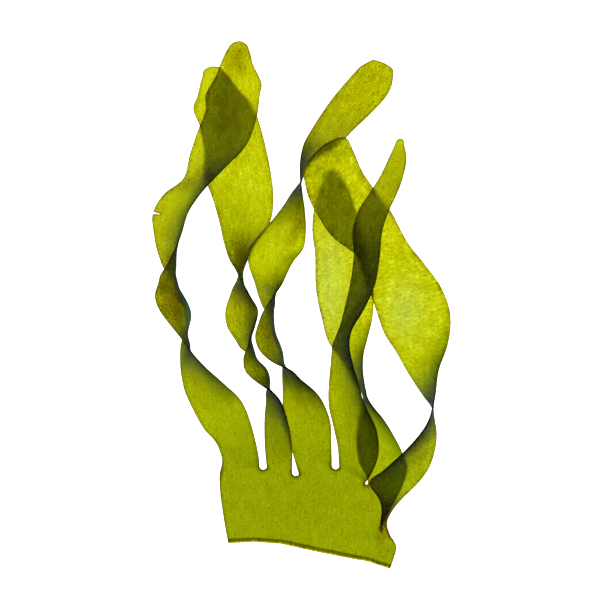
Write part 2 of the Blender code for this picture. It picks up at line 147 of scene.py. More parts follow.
# Stations of each strap: margin a (x, y), margin b (x, y), true width, lower
# margin's height, belly. Margin b is the higher one where the width is
# positive, and margin a where it is negative. The last entry is the tip.
STRAPS = {
    "strap_1": [
        (222.3, 463, 258.9, 461, 37, 0, 0.00),
        (219, 448, 256, 444, 39, 0, 0.00),
        (203, 427, 241.5, 401.7, 47, 0, 0.05),
        (192, 407, 224.5, 384.5, 47, 0, 0.11),
        (183.5, 386, 205.5, 367.5, 47, 0, 0.12),
        (180.3, 362, 192.5, 353, 47, 0, 0.06),
        (180.9, 345, 186, 344.5, 47, 0, 0.13),
        (183.7, 336, 179.6, 335.5, 47, 0, 0.12),
        (188, 327, 172.5, 327, 47, 0, 0.12),
        (190, 311, 158, 306.3, 47, 0, 0.15),
        (182, 294, 156, 292, 47, 0, 0.14),
        (175, 285, 158.8, 284, 47, 0, 0.20),
        (169, 276, 161, 275, 47, 0, 0.22),
        (163, 267, 166.5, 266.5, 47, 0, 0.24),
        (160, 259.5, 171, 257.5, 47, 0, 0.22),
        (157, 250, 175.5, 249, 47, 0, 0.19),
        (154, 234, 181.6, 234, 47, 0, 0.13),
        (153.2, 212.5, 188, 213, 47, 0, 0.15),
        (163.2, 195, 196.5, 199.5, 47, 0, 0.14),
        (183.5, 178.5, 208, 185.5, 48, 1, 0.10),
        (190, 155, 224, 169, 50, 3, 0.09),
        (198.5, 130, 247, 144, 54, 5, 0.03),
        (206, 110, 257, 115, 53, 5, 0.00),
        (207, 92.5, 260, 93, 53.6, 5, 0.00),
        (211, 85.5, 261.5, 85, 51.1, 5, 0.00),
        (215.5, 78, 258.8, 77, 43.9, 5, 0.00),
        (220.5, 65, 252.8, 65, 33.0, 5, 0.00),
        (226.3, 52, 249.6, 52, 24, 5, 0.00),
        (228.8, 47.7, 248.0, 47.7, 19.7, 5, 0.00),
        6.5,
    ],
    "strap_2": [
        (265, 442, 291, 440, 30, 0, 0.00),
        (264.8, 418, 286, 417, 36, 0, 0.06),
        (266.3, 400, 278, 398, 40, 0, 0.06),
        (266.4, 392, 270, 390, 42, 0, 0.04),
        (268.6, 385, 262.5, 385.5, 43, 0, 0.07),
        (269, 378, 251, 377, 44, 0, 0.10),
        (266, 369.5, 245.5, 370.5, 44, 0, 0.10),
        (258, 362, 243.8, 362, 44, 0, 0.10),
        (249, 354, 244.4, 355, 44, 0, 0.18),
        (241.2, 348.8, 247.3, 348, 45, 0, 0.19),
        (235.8, 340.5, 249.8, 339.5, 45, 0, 0.15),
        (227.5, 327, 255, 325, 45, 0, 0.14),
        (225.5, 311, 257.5, 310, 45, 0, 0.11),
        (230, 296, 250.5, 297, 45, 0, 0.08),
        (233.3, 287, 244.8, 286.5, 45, 0, 0.07),
        (236.6, 281, 241.3, 281, 45, 0, 0.09),
        (238.3, 276, 239, 276, 46, 0, 0.09),
        (241.5, 270, 235.3, 268.5, 46, 0, 0.10),
        (247, 260, 231, 262, 48, 0, 0.10),
        (256, 243, 224.5, 243, 50, 0, 0.07),
        (269, 224, 220.5, 225, 57, 0, 0.03),
        (273, 199, 213.5, 200, 61, 0, 0.00),
        (271, 176, 205, 176, 65, 0, 0.00),
        (265.6, 148, 204.5, 150, 61, 0, 0.00),
        (260.5, 128, 200, 126, 60, 0, 0.00),
        (251.5, 105, 194, 105, 57, 0, 0.00),
        (246, 98, 197.3, 97.5, 48.7, 0, 0.00),
        (239, 90.5, 199.6, 88, 39.5, 0, 0.00),
        (230, 78.5, 201.5, 80.5, 28.6, 0, 0.00),
        (222, 70, 203.4, 74.5, 19.2, 0, 0.00),
        6.0,
    ],
    "strap_3": [
        (293.5, 455, 331, 444, 40, 0, 0.00),
        (286.5, 428, 329.5, 420, 45, 0, 0.04),
        (283, 405, 317, 394, 45, 0, 0.11),
        (282.8, 388, 301, 380, 46, 0, 0.08),
        (282.5, 373, 291, 370.5, 46, 0, 0.03),
        (282.8, 366.5, 283.8, 367, 46, 0, 0.03),
        (283, 360, 273, 362, 46, 0, 0.08),
        (282, 352, 262.5, 353.5, 46, 0, 0.10),
        (275.5, 335, 255.5, 336, 46, 0, 0.12),
        (271.5, 322, 259.2, 322, 46, 0, 0.15),
        (268, 313, 261.8, 314.5, 46, 0, 0.18),
        (262.8, 307, 266, 307, 46, 0, 0.21),
        (260, 300, 270.7, 300, 47, 0, 0.19),
        (257.7, 293, 275.8, 292.5, 47, 0, 0.13),
        (255.5, 285, 280, 287, 47, 5, 0.11),
        (248.5, 262, 293.5, 261, 50, 14, 0.06),
        (249, 251, 302.8, 249, 55, 15, 0.02),
        (258, 237, 305.6, 230.5, 52, 11, 0.05),
        (271, 222, 304.5, 210, 50, 6, 0.06),
        (284, 205, 302.5, 196, 48, 3, 0.05),
        (292.5, 192, 301.3, 187, 48, 2, 0.03),
        (300.4, 182, 300.6, 182, 47, 1, 0.02),
        (306.5, 168, 300.3, 164, 43, 0.5, -0.01),
        (319.5, 157, 303.5, 146, 42, 0.5, 0.00),
        (336, 147.5, 313, 128, 42, 0.5, 0.04),
        (351.5, 131.5, 324, 111, 42, 0.5, 0.03),
        (370.6, 113.2, 336, 94.5, 42, 0.5, 0.02),
        (385, 97.5, 348, 80.5, 41, 0.5, 0.00),
        (392, 83, 361, 66.5, 35, 0.5, 0.00),
        (393, 71.5, 370.5, 61, 24, 0.5, 0.00),
        4.0,
    ],
    "strap_4": [
        (339, 460, 369.5, 476, 35.1, 0.5, 0.00),
        (338, 447, 377, 459, 41.3, 1.5, 0.00),
        (334, 428, 377, 434, 47, 1.5, 0.05),
        (329, 405, 366.5, 409, 45, 2, 0.10),
        (328.5, 394, 362, 399, 44, 2, 0.11),
        (329, 384, 359, 387, 43, 2, 0.12),
        (331, 362, 352, 364, 42, 3, 0.10),
        (333, 344, 348.5, 345, 41, 5, 0.10),
        (340, 326, 351, 330, 40, 8, 0.08),
        (345, 307, 361, 313, 39, 9, 0.08),
        (350.5, 283, 373.5, 287, 38, 10, 0.08),
        (354, 255, 379, 258, 37, 10.5, 0.06),
        (353, 230, 382, 230, 36, 12, 0.05),
        (358.5, 211, 388, 212, 35, 14, 0.05),
        (370, 193, 396, 195, 33, 16, 0.04),
        (381, 175, 402.6, 177, 28, 15, 0.02),
        (389.5, 157, 405.9, 158, 20, 11, 0.00),
        (395.3, 144.5, 403.7, 144.5, 9, 8, 0.00),
        6.0,
    ],
    "strap_5": [
        (367.2, 478, 385.5, 517, 41, 0, 0.00),
        (364.3, 472, 393.5, 502.5, 41, 0, 0.00),
        (360, 464, 402, 486, 47, 0, 0.00),
        (358, 455, 407, 468, 50, 0, 0.00),
        (357, 443, 402, 453, 47, 0, 0.04),
        (357.5, 430, 394, 437, 42, 0, 0.06),
        (359, 418, 382, 418, 38, 0, 0.06),
        (362, 407, 372.5, 406.5, 34, 0, 0.04),
        (363.6, 398.5, 367.3, 398, 32, 0, 0.00),
        (360.8, 390, 365.2, 389.5, 32, 0, 0.00),
        (355.5, 380, 363.3, 379, 32, 0, 0.02),
        (349, 369, 362.2, 367.5, 36, 0, 0.05),
        (341, 358, 363, 354, 39, 0, 0.08),
        (331, 346, 366, 342, 43, 0, 0.09),
        (322.5, 320, 372, 318, 50, 0, 0.03),
        (316.6, 292, 373, 292, 56.5, 0, 0.00),
        (315.4, 254, 366.5, 252, 51, 0, 0.00),
        (312.6, 227, 358, 219, 45.5, 0, 0.00),
        (315, 205, 350.5, 196, 36, 0, 0.00),
        (319, 190, 344.5, 184, 26, 0, 0.00),
        (323.5, 177, 338, 173, 15, 0, 0.00),
        5.0,
    ],
    "strap_6": [
        (380.6, 523, 386.5, 525, -9, 0, 0.00),
        (382, 511, 391, 512, -16, 0, 0.00),
        (379, 498, 401.5, 499, -30, 0, 0.02),
        (369.5, 484, 414, 487, -50, 0, 0.04),
        (384, 470, 427, 471, -50, 0, 0.06),
        (403.4, 452.4, 435, 449, -50, 0, 0.10),
        (420, 433.5, 436.3, 431, -50, 0, 0.05),
        (429, 419, 434, 417, -50, 0, 0.03),
        (431.7, 408, 432.2, 408, -50, 0, -0.02),
        (434.2, 396, 423.5, 396, -50, 0, -0.03),
        (438, 369, 407, 371, -53, 0.5, -0.10),
        (447, 344, 397, 353, -59, 1, -0.09),
        (450, 316, 385, 334, -68, 3, -0.02),
        (441, 288, 376, 309, -68, 5, 0.00),
        (424, 264, 367, 282, -59, 6, 0.00),
        (405, 239, 357, 256, -50, 6, 0.00),
        (392, 214, 349, 249, -55, 7, 0.00),
        (376, 192, 333, 237, -62, 9, 0.00),
        (362, 172, 319, 217, -62, 13, 0.00),
        (355, 156, 309, 198, -62, 18, 0.00),
        (349, 142.5, 304, 177.5, -57, 25, 0.00),
        14.0,
    ],
}

# Depth of colour of each strap at shares of its length, one row per strap:
# (share, depth) pairs. One is the plain strap colour, more is darker. The
# darker stretches are partly the strap's own colour and partly painted shade
# of its twists and curls.
DEPTH = {
    "strap_1": ((0.0, 1.0), (0.15, 1.0), (0.5, 1.05), (0.8, 1.15), (0.9, 1.2), (1.0, 1.5)),
    "strap_2": (
        (0.0, 2.1), (0.05, 1.9), (0.11, 1.0), (0.16, 1.3), (0.35, 1.15), (0.7, 1.05), (1.0, 1.1),
    ),
    "strap_3": ((0.0, 1.0), (0.15, 1.05), (0.5, 1.05), (0.65, 1.3), (0.8, 1.75), (1.0, 1.85)),
    "strap_4": ((0.0, 0.9), (0.2, 1.1), (0.45, 1.5), (0.65, 1.9), (0.8, 1.5), (1.0, 1.35)),
    "strap_5": ((0.0, 0.7), (0.2, 0.75), (0.45, 1.05), (0.7, 1.1), (0.85, 1.1), (1.0, 1.5)),
    "strap_6": ((0.0, 0.75), (0.2, 0.9), (0.5, 0.97), (0.75, 1.2), (1.0, 1.5)),
}

# Depth of the palm's colour, and the run over which a strap's own takes over
PALM_DEPTH = 0.98
DEPTH_BLEND = 45.0

# Painted shade on steep parts, standing in for how dim a backlit sheet looks
# when turned on edge: the gain with the slope, its limit, and the least
# upright share of a normal that counts
STEEP_SHADE = 0.2
MOST_STEEP_SHADE = 1.5
LEAST_UPRIGHT = 0.12

# Deeper bands, each with its amount and half width: painted shade along the
# margins, round the notch bottoms (also its half length) and on the cut's rim,
# where a backlit edge looks dark, and a darker line beside the cut (also its
# distance from it)
MARGIN_SHADE, MARGIN_BAND = 3.2, 1.1
NOTCH_SHADE, NOTCH_BAND, NOTCH_RUN = 3.0, 2.4, 9.0
CUT_DEPTH, CUT_BAND, CUT_LINE = 4.5, 1.3, 2.8
CUT_RIM_SHADE, CUT_RIM_BAND = 2.0, 1.0

# Patches of deeper colour on a strip, mostly painted shade where it curls,
# puckers or lies under another strip, or paler where negative: x, y, half
# width, half length, lean in degrees and amount. Those of the palm lie on all
# strips.
PAINTED_SHADES = {
    "palm": ((300, 502, 42, 26, 0, 0.14), (379, 537, 6, 9, 0, 0.5), (384, 556, 10, 8, 0, 0.25)),
    "strap_1": (
        (240, 58, 8, 17, 10, 1.4),
        (228, 66, 4, 18, 8, 0.8),
        (197, 200, 6, 16, 20, 0.5),
        (189, 183, 6, 20, 65, 0.9),
        (209, 174, 7, 11, 30, 1.7),
        (167, 300, 11, 21, 0, 2.7),
        (180, 306, 8, 22, 0, 3.4),
        (166, 225, 15, 28, 0, 0.45),
        (202, 388, 20, 24, 0, 0.3),
        (164, 282, 7, 10, 0, 1.4),
        (168, 262, 5, 14, 0, 1.2),
        (186, 345, 6, 14, -20, 0.8),
        (218, 385, 7, 22, -38, 0.6),
    ),
    "strap_2": (
        (228, 112, 17, 36, 0, 1.4),
        (240, 256, 9, 15, 0, 2.4),
        (240, 236, 14, 20, 0, 0.6),
        (240, 290, 7, 13, 0, 2.0),
        (240, 316, 13, 22, 0, 0.8),
        (251, 312, 5, 20, 0, 1.6),
        (256, 372, 9, 14, -40, 1.2),
        (272, 400, 7, 18, 0, 0.6),
    ),
    "strap_3": (
        (298, 222, 6, 22, 18, 1.45),
        (268, 334, 12, 26, 0, 1.9),
        (300, 396, 12, 20, -40, 0.8),
        (290, 378, 8, 12, -45, 0.8),
        (272, 286, 7, 14, 15, 0.7),
        (306, 152, 7, 22, 20, 0.9),
    ),
    "strap_4": (
        (350, 420, 8, 30, -8, 0.4),
        (371, 250, 7, 24, 0, 0.7),
    ),
    "strap_5": (
        (388, 430, 10, 16, -35, -0.35),
        (366, 440, 9, 26, 0, -0.2),
    ),
    "strap_6": (
        (392, 492, 14, 14, 20, -0.45),
        (420, 455, 9, 14, 20, 0.6),
        (384, 516, 10, 14, 0, 1.2),
        (318, 160, 10, 16, 30, 0.5),
    ),
}

# Places with a painted sheen, a pale, bluish reflection, in the same numbers
PAINTED_SHEENS = {
    "strap_5": ((330, 285, 14, 45, 0, 1.1),),
    "strap_6": ((405, 310, 16, 24, 0, 1.1),),
    "strap_1": ((188.5, 314, 3.5, 16, 0, 0.5),),
}

# Places of browner painted shade with a thinner wet coat, mostly where strips
# lie over one another, or of paler green with a fuller coat under the painted
# sheen where negative
WARMTHS = {
    "strap_1": ((189.5, 313, 4, 20, 0, -1.0),),
    "strap_4": ((372, 440, 9, 30, -10, 0.9),),
    "strap_5": ((366, 445, 10, 28, 0, 0.8), (384, 490, 14, 22, 0, 1.0), (379, 420, 9, 20, -35, 0.7)),
    "strap_6": ((385, 486, 15, 26, 0, 1.0), (384, 520, 14, 18, 0, 1.0), (412, 442, 12, 18, 45, 0.6)),
}

# Finish of the flesh. Streaks and grain: scale across and along the leaf,
# detail and strength. Mottling: scale, detail and strength.
STREAKS = ((700.0, 75.0, 1.0), 3.0, 0.36)
GRAIN = ((1400.0, 460.0, 1.0), 2.0, 0.6)
MOTTLING = (85.0, 4.0, 0.15)

# Range of a noise that is spread to plus and minus its strength
NOISE_RANGE = (0.3, 0.7)

# Dark specks: scale, inner and outer distance, share of cells without one, and
# strength
SPECKS = (230.0, (0.12, 0.24), 0.55, 2.2)

# The depth past which streaks, grain, mottling and specks grow no more
VARIED_DEPTH = 2.4

# Tint of a single depth and what the painted sheen adds, by channel
TINTS = (("Red", 0.73, 0.0), ("Green", 0.687, 0.05), ("Blue", 0.012, 0.28))

# What the coldest and the warmest places do to the green's depth, and the
# weight of their wet coat
WARM_GREEN = (0.7, 1.3)
WARM_COAT = (0.7, 0.0)

# The light table: half side and distance under the leaf, metres, its glow, and
# the share of it that a reflection sees
TABLE_HALF = 60.0
TABLE_DROP = 0.0004
TABLE_GLOW = 2.0
TABLE_MIRRORED = (("Red", 0.10), ("Green", 0.17), ("Blue", 0.15))

# The camera: focal length and sensor in millimetres, far limit in metres, and
# the width of its frame
LENS = 600.0
SENSOR = 36.0
FAR_LIMIT = 200.0
FRAME_WIDTH = 610.0

# Angle past which an edge is drawn sharp, degrees
SHARP_ANGLE = 60.0


def hermite(knots, values, at, flat_start=False):
    """Smooth curve through the values: each span is a cubic whose end slopes
    are those of the parabola through three neighbours."""
    step = np.diff(knots)
    rise = np.diff(values, axis=0) / step[:, None]
    slope = np.empty_like(values)
    weight = (step[1:] / (step[1:] + step[:-1]))[:, None]
    slope[1:-1] = rise[:-1] * weight + rise[1:] * (1.0 - weight)
    slope[0] = 1.5 * rise[0] - 0.5 * slope[1]
    slope[-1] = 1.5 * rise[-1] - 0.5 * slope[-2]
    if flat_start:
        slope[0, 2] = 0.0
        slope[0, 5] = 0.0
    span = np.clip(np.searchsorted(knots, at, side="right") - 1, 0, len(step) - 1)
    width = step[span]
    u = ((at - knots[span]) / width)[:, None]
    width = width[:, None]
    return (
        values[span] * (1.0 + 2.0 * u) * (1.0 - u) ** 2
        + slope[span] * width * u * (1.0 - u) ** 2
        + values[span + 1] * u * u * (3.0 - 2.0 * u)
        + slope[span + 1] * width * u * u * (u - 1.0)
    )


def seam_points(seam, v):
    """Points along one palm seam at shares v of its length: a parabola through
    three points, or a smooth curve through more."""
    points = np.array(seam, dtype=float)
    knots = np.concatenate([[0.0], np.cumsum(np.hypot(*np.diff(points, axis=0).T))])
    if len(points) == 3:
        a, b, c = points
        mid = knots[1] / knots[2]
        u = v[:, None]
        bend = (b - a * (1.0 - mid) - c * mid) / (mid * (1.0 - mid))
        return a * (1.0 - u) + c * u + bend * u * (1.0 - u)
    return hermite(knots, points, v * knots[-1])


def control_rows(index, stations):
    """Both margins of a strap in space, and knots along its midline.

    Margin distance in plan and difference in height are the legs of a right
    angle whose long side is the true width.
    """
    left = (SEAMS[index][-1][0] + NOTCH[index], SEAMS[index][-1][1])
    right = (SEAMS[index + 1][-1][0] - NOTCH[index + 1], SEAMS[index + 1][-1][1])
    ax, ay, bx, by, width, lift, belly = np.array(stations, dtype=float).T
    high = np.sqrt(np.maximum(width**2 - (bx - ax) ** 2 - (by - ay) ** 2, 0.0))
    a_high = lift + np.where(width < 0.0, high, 0.0)
    b_high = lift + np.where(width > 0.0, high, 0.0)
    first = np.array([[left[0], left[1], 0.0, right[0], right[1], 0.0, 0.0]])
    control = np.vstack([first, np.column_stack([ax, ay, a_high, bx, by, b_high, belly])])
    middle = 0.5 * (control[:, 0:3] + control[:, 3:6])
    steps = np.linalg.norm(np.diff(middle, axis=0), axis=1)
    return control, np.concatenate([[0.0], np.cumsum(np.maximum(steps, SHORTEST_STEP))])


def column_shares(width):
    """Places of the columns across rows of these widths, from 0 to 1: a few
    close to each margin for its round rim, the others evenly between them."""
    near = np.array(RIM_STEPS)[None, :] * RIM
    near = near * np.minimum(1.0, width / (RIM_ROOM * RIM_STEPS[-1] * RIM))[:, None]
    even = np.linspace(0.0, 1.0, INNER_COLUMNS + 1)[None, 1:-1]
    wide = width[:, None]
    inner = near[:, -1:] + (wide - 2.0 * near[:, -1:]) * even
    return np.hstack([near, inner, wide - near[:, ::-1]]) / wide


def relief(x, y):
    """Height of the palm's surface over its flat rest: the sum of its humps,
    which are bell curves."""
    return sum(
        height * np.exp(-(((x - at_x) / wide) ** 2 + ((y - at_y) / long) ** 2))
        for at_x, at_y, wide, long, height in HUMPS
    )


def palm_sheet(index):
    """Middle sheet of one palm strip: straight rows between two seams. The
    palm's outer sides and its cut edge stand a little outside their lines."""
    near_cut = np.array(CUT_ROWS) / PALM_RUN
    near_root = 1.0 - np.array(RIM_STEPS[1:])[::-1] * RIM / ROOT_SPACING
    between = np.linspace(near_cut[-1], near_root[0], PALM_STEPS)[1:-1]
    v = np.concatenate([near_cut, between, near_root, [1.0]])
    left = seam_points(SEAMS[index], v)
    right = seam_points(SEAMS[index + 1], v)
    outside = MARGIN_GROWTH * np.clip((1.0 - v) / GROWTH_END, 0.0, 1.0)
    left[:, 0] -= outside * (index == 0)
    right[:, 0] += outside * (index == len(SEAMS) - 2)
    left[:, 1] += CUT_GROWTH * (v < near_cut[1])
    right[:, 1] += CUT_GROWTH * (v < near_cut[1])
    share = column_shares(np.linalg.norm(right - left, axis=1))
    flat = left[:, None, :] + (right - left)[:, None, :] * share[:, :, None]
    sheet = np.dstack([flat, relief(flat[:, :, 0], flat[:, :, 1])])
    return sheet, share, (v - 1.0) * PALM_RUN


def strap_margins(index, name):
    """Margins a and b of a strap above the root line, with the belly and the
    run of each row, and the run at which the strap is torn.

    Below the notch radius the margins close in on the notch bottom along a
    quarter circle. They stand a little outside their stations, which starts
    from nothing at the root as one minus an exponential. The tip is half an
    ellipse, or a more pointed curve of the same kind.
    """
    stations, tip = STRAPS[name][:-1], STRAPS[name][-1]
    control, knots = control_rows(index, stations)
    fillet = np.array(NOTCH_STEPS)[1:] * max(NOTCH[index], NOTCH[index + 1])
    count = int(round((knots[-1] - fillet[-1]) / ROW_PITCH))
    at = np.concatenate([fillet[:-1], np.linspace(fillet[-1], knots[-1], count + 1)])
    torn = np.interp(-TEAR_AT, -control[:, 1], knots)
    if name == TEAR_STRAP:
        clear = at[np.abs(at - torn) > TEAR_ROOM]
        at = np.sort(np.concatenate([clear, torn + np.array(TEAR_ROWS)]))
    curve = hermite(knots, control, at, flat_start=True)
    a, b, belly = curve[:, 0:3].copy(), curve[:, 3:6].copy(), curve[:, 6]
    for margin, seam, start in ((a, index, control[0, 0:2]), (b, index + 1, control[0, 3:5])):
        margin[:, 2] = np.maximum(margin[:, 2], 0.0)
        if NOTCH[seam] > 0.0:
            near = np.clip(1.0 - at / NOTCH[seam], 0.0, 1.0)
            pull = 1.0 - np.sqrt(1.0 - near * near)
            margin[:, 0:2] += pull[:, None] * (np.array(SEAMS[seam][-1]) - start)
    chord = b - a
    outside = MARGIN_GROWTH * (1.0 - np.exp(-at / GROWTH_START))
    spare = chord / np.linalg.norm(chord, axis=1)[:, None] * outside[:, None]
    a -= spare
    b += spare

    last = 0.5 * (a[-1] + b[-1])
    heading = last - 0.5 * (control[-2, 0:3] + control[-2, 3:6])
    heading[2] = 0.0
    heading /= np.linalg.norm(heading)
    turn = np.radians(TIP_ARC * np.arange(1, TIP_STEPS + 1) / TIP_STEPS)
    reach = tip * np.sin(turn) / math.sin(turn[-1])
    tip_mid = last + heading * reach[:, None]
    close = (1.0 - (reach / tip) ** TIP_POWERS.get(name, ROUND_TIP)) ** 0.5
    half = 0.5 * (b[-1] - a[-1]) * np.maximum(close, TIP_BLUNT)[:, None]
    a = np.vstack([a, tip_mid - half])
    b = np.vstack([b, tip_mid + half])
    belly = np.concatenate([belly, np.zeros(TIP_STEPS)])
    return a, b, belly, np.concatenate([at, knots[-1] + reach]), torn


def strap_sheet(index, name):
    """Middle sheet of a strap above the root line.

    A row runs straight from margin a to margin b. Square to it stand a belly of
    4 t (1 - t) and any crease, a roof of two straight slopes whose height is a
    bell curve along the strap. A tear pushes the points near margin a inwards,
    by a narrow bell curve along the strap that fades across it.
    """
    a, b, belly, run, torn = strap_margins(index, name)
    chord = b - a
    width = np.linalg.norm(chord, axis=1)
    share = column_shares(width)
    flip = np.array((1.0, -1.0, 1.0))
    forward = np.gradient(0.5 * (a + b), run, axis=0)
    out = np.cross(forward * flip, chord * flip) * flip
    out *= (width / np.maximum(np.linalg.norm(out, axis=1), TINY))[:, None]
    if name == TEAR_STRAP:
        nick = TEAR_DEPTH * np.exp(-(((run - torn) / TEAR_WIDTH) ** 2))
        fade = np.exp(-share * width[:, None] / TEAR_FADE)
        share = share + fade * (nick / width)[:, None]
    t = share[:, :, None]
    sheet = a[:, None, :] + chord[:, None, :] * t
    sheet += (out * belly[:, None])[:, None, :] * (4.0 * t * (1.0 - t))
    for y, length, amount, ridge in CREASES.get(name, ()):
        rise = amount * np.exp(-(((0.5 * (a + b)[:, 1] - y) / length) ** 2))
        roof = np.minimum(t / ridge, (1.0 - t) / (1.0 - ridge))
        sheet += (out * rise[:, None])[:, None, :] * roof
    sheet[:, :, 2] += relief(sheet[:, :, 0], sheet[:, :, 1])
    return sheet, share, run


def sheet_normals(grid):
    """Unit normals of a grid of points: across times along, scaled to one."""
    normal = np.cross(np.gradient(grid, axis=1), np.gradient(grid, axis=0))
    return normal / np.maximum(np.linalg.norm(normal, axis=2), TINY)[:, :, None]


def nearest(points, starts, ends):
    """Distance of each point to the nearest of the segments start to end."""
    along = ends - starts
    size = np.maximum((along**2).sum(axis=1), TINY)
    offset = points[:, None, :] - starts[None, :, :]
    share = np.clip((offset * along[None]).sum(axis=2) / size[None], 0.0, 1.0)
    offset -= share[:, :, None] * along[None]
    return np.sqrt((offset**2).sum(axis=2)).min(axis=1)


def thickness_at(run):
    """Thickness along a strap: an even taper to the tip, and a bell curve that
    carries the palm's thickness up past the root."""
    even = STRAP_THICKNESS + (TIP_THICKNESS - STRAP_THICKNESS) * run / run[-1]
    thick = even + (PALM_THICKNESS - STRAP_THICKNESS) * np.exp(-((run / THINNING) ** 2))
    return np.where(run < 0.0, PALM_THICKNESS, thick)


def leaf_parts():
    """Sheets of the six palm and strap strips, stacked root to tip, with their
    column shares, runs and the count of palm rows."""
    parts = []
    for index, name in enumerate(STRAPS):
        low, low_share, low_run = palm_sheet(index)
        high, high_share, high_run = strap_sheet(index, name)
        sheet = np.concatenate([low, high])
        share = np.concatenate([low_share, high_share])
        parts.append((sheet, share, np.concatenate([low_run, high_run])))
    return parts, len(low_run)


def to_metres(sheet, thickness):
    """Drawing units to metres: y runs up, and the leaf rests on the surface."""
    out = np.empty_like(sheet)
    out[..., 0] = (sheet[..., 0] - SHEET) * UNIT + SHIFT[0]
    out[..., 1] = (SHEET - sheet[..., 1]) * UNIT + SHIFT[1]
    out[..., 2] = sheet[..., 2] * UNIT + 0.5 * thickness
    return out


def margin_lines(parts, palm):
    """Each strip's free edges as segment starts and ends: left margin, tip and
    right margin, with the first rows of its neighbours' margins."""
    edges = []
    for index, (sheet, _, _) in enumerate(parts):
        left_from = 0 if index == 0 else palm - 1
        right_from = 0 if index == len(parts) - 1 else palm - 1
        right_side = sheet[right_from:-1, -1][::-1]
        loop = np.concatenate([sheet[left_from:, 0], sheet[-1, 1:], right_side])
        starts, ends = [loop[:-1]], [loop[1:]]
        for other, column in ((index - 1, -1), (index + 1, 0)):
            if 0 <= other < len(parts):
                piece = parts[other][0][palm - 1:palm + 4, column]
                starts.append(piece[:-1])
                ends.append(piece[1:])
        edges.append((np.concatenate(starts), np.concatenate(ends)))
    return edges


def patches(spots, sheet):
    """Sum of bell curves on the sheet: x, y, half width, half length, lean of
    the long axis from upright in degrees, and height of each."""
    total = np.zeros(sheet.shape[:2])
    for x, y, wide, long, lean, amount in spots:
        turn = math.radians(lean)
        right, up = sheet[:, :, 0] - x, y - sheet[:, :, 1]
        u = (right * math.cos(turn) - up * math.sin(turn)) / wide
        v = (right * math.sin(turn) + up * math.cos(turn)) / long
        total += amount * np.exp(-(u * u) - v * v)
    return total


def colour_and_shade_depth(name, sheet, run, gap, upright):
    """Depth of colour over one strip, for points this far from a margin and
    with normals this upright.

    It goes from the palm's depth to the strap's own along an S curve, and as
    painted shade it grows with the slope towards a limit. Bell curves of painted
    shade deepen it along the margins, round the notch bottoms and on the cut's
    rim, another deepens it beside the cut, and patches of mostly painted shade
    add to it.
    """
    knots, values = np.array(DEPTH[name]).T
    blend = np.clip(run / DEPTH_BLEND, 0.0, 1.0)
    own = np.interp(run / run[-1], knots, values)
    level = PALM_DEPTH + (own - PALM_DEPTH) * blend * blend * (3.0 - 2.0 * blend)
    # Painted shade: steep parts are drawn darker, as a sheet on edge looks dim
    slope = 1.0 / np.maximum(upright, LEAST_UPRIGHT) - 1.0
    steep_shade = MOST_STEEP_SHADE * (1.0 - np.exp(-STEEP_SHADE * slope / MOST_STEEP_SHADE))
    level = level[:, None] * (1.0 + steep_shade)
    # Painted shade of dark edges: along the margins, round the notch bottoms and on the cut's rim
    level = level + MARGIN_SHADE * np.exp(-((gap / MARGIN_BAND) ** 2))
    beside = (run[:, None] / NOTCH_RUN) ** 2 + (gap / NOTCH_BAND) ** 2
    level = level + NOTCH_SHADE * np.exp(-beside)
    from_cut = np.linalg.norm(sheet[:, :, :2] - sheet[:1, :, :2], axis=2)
    level = level + CUT_DEPTH * np.exp(-(((from_cut - CUT_LINE) / CUT_BAND) ** 2))
    level = level + CUT_RIM_SHADE * np.exp(-((from_cut / CUT_RIM_BAND) ** 2))
    # Patches, mostly of painted shade, come last
    return level + patches(PAINTED_SHADES["palm"] + PAINTED_SHADES.get(name, ()), sheet)


def leaf_layers():
    """All points of the middle sheet in metres, with their normals, half
    thickness, leaf coordinates and colour values, and each strip's grid of
    point numbers. Neighbouring palm strips share the points of their seam.

    Half the thickness falls to nothing at a margin along a quarter circle.
    """
    parts, palm = leaf_parts()
    edges = margin_lines(parts, palm)
    layers = {}
    numbers, base = [], 0
    for index, (name, (sheet, share, run)) in enumerate(zip(STRAPS, parts)):
        shape = share.shape
        thick = thickness_at(run)[:, None]
        grid = to_metres(sheet, thick)
        normal = sheet_normals(grid)
        gap = nearest(sheet.reshape(-1, 3), *edges[index]).reshape(shape)
        rim = np.sqrt(1.0 - (1.0 - np.clip(gap / RIM, 0.0, 1.0)) ** 2)
        rim[gap < TOUCHING] = 0.0
        number = base + np.arange(share.size).reshape(shape)
        base += share.size
        if index:
            number[:palm, 0] = numbers[-1][:palm, -1]
        numbers.append(number)
        left, right = SEAMS[index][-1][0], SEAMS[index + 1][-1][0]
        along = np.broadcast_to(run[:, None], shape)
        strip = {
            "middle": grid,
            "normal": normal,
            "half": 0.5 * thick * rim,
            "leaf": np.dstack([left + (right - left) * share, along]) * UNIT,
            "from_cut": along - run[0],
            # Depth of colour, with painted shade of steep parts, edges and patches
            "depth_and_shade": colour_and_shade_depth(name, sheet, run, gap, np.abs(normal[:, :, 2])),
            # Painted sheen: a pale bluish reflection painted into the colour
            "painted_sheen": patches(PAINTED_SHEENS.get(name, ()), sheet),
            # Warmth: browner painted shade where strips overlap, paler under the painted sheen
            "warmth": patches(WARMTHS.get(name, ()), sheet),
        }
        for key, values in strip.items():
            layers.setdefault(key, []).append(values.reshape(share.size, -1))
    return {key: np.concatenate(values) for key, values in layers.items()}, numbers


def quads(grid):
    """Corner numbers of the faces between the rows and columns of a grid."""
    corners = (grid[:-1, :-1], grid[:-1, 1:], grid[1:, 1:], grid[1:, :-1])
    return np.stack(corners, axis=-1).reshape(-1, 4)


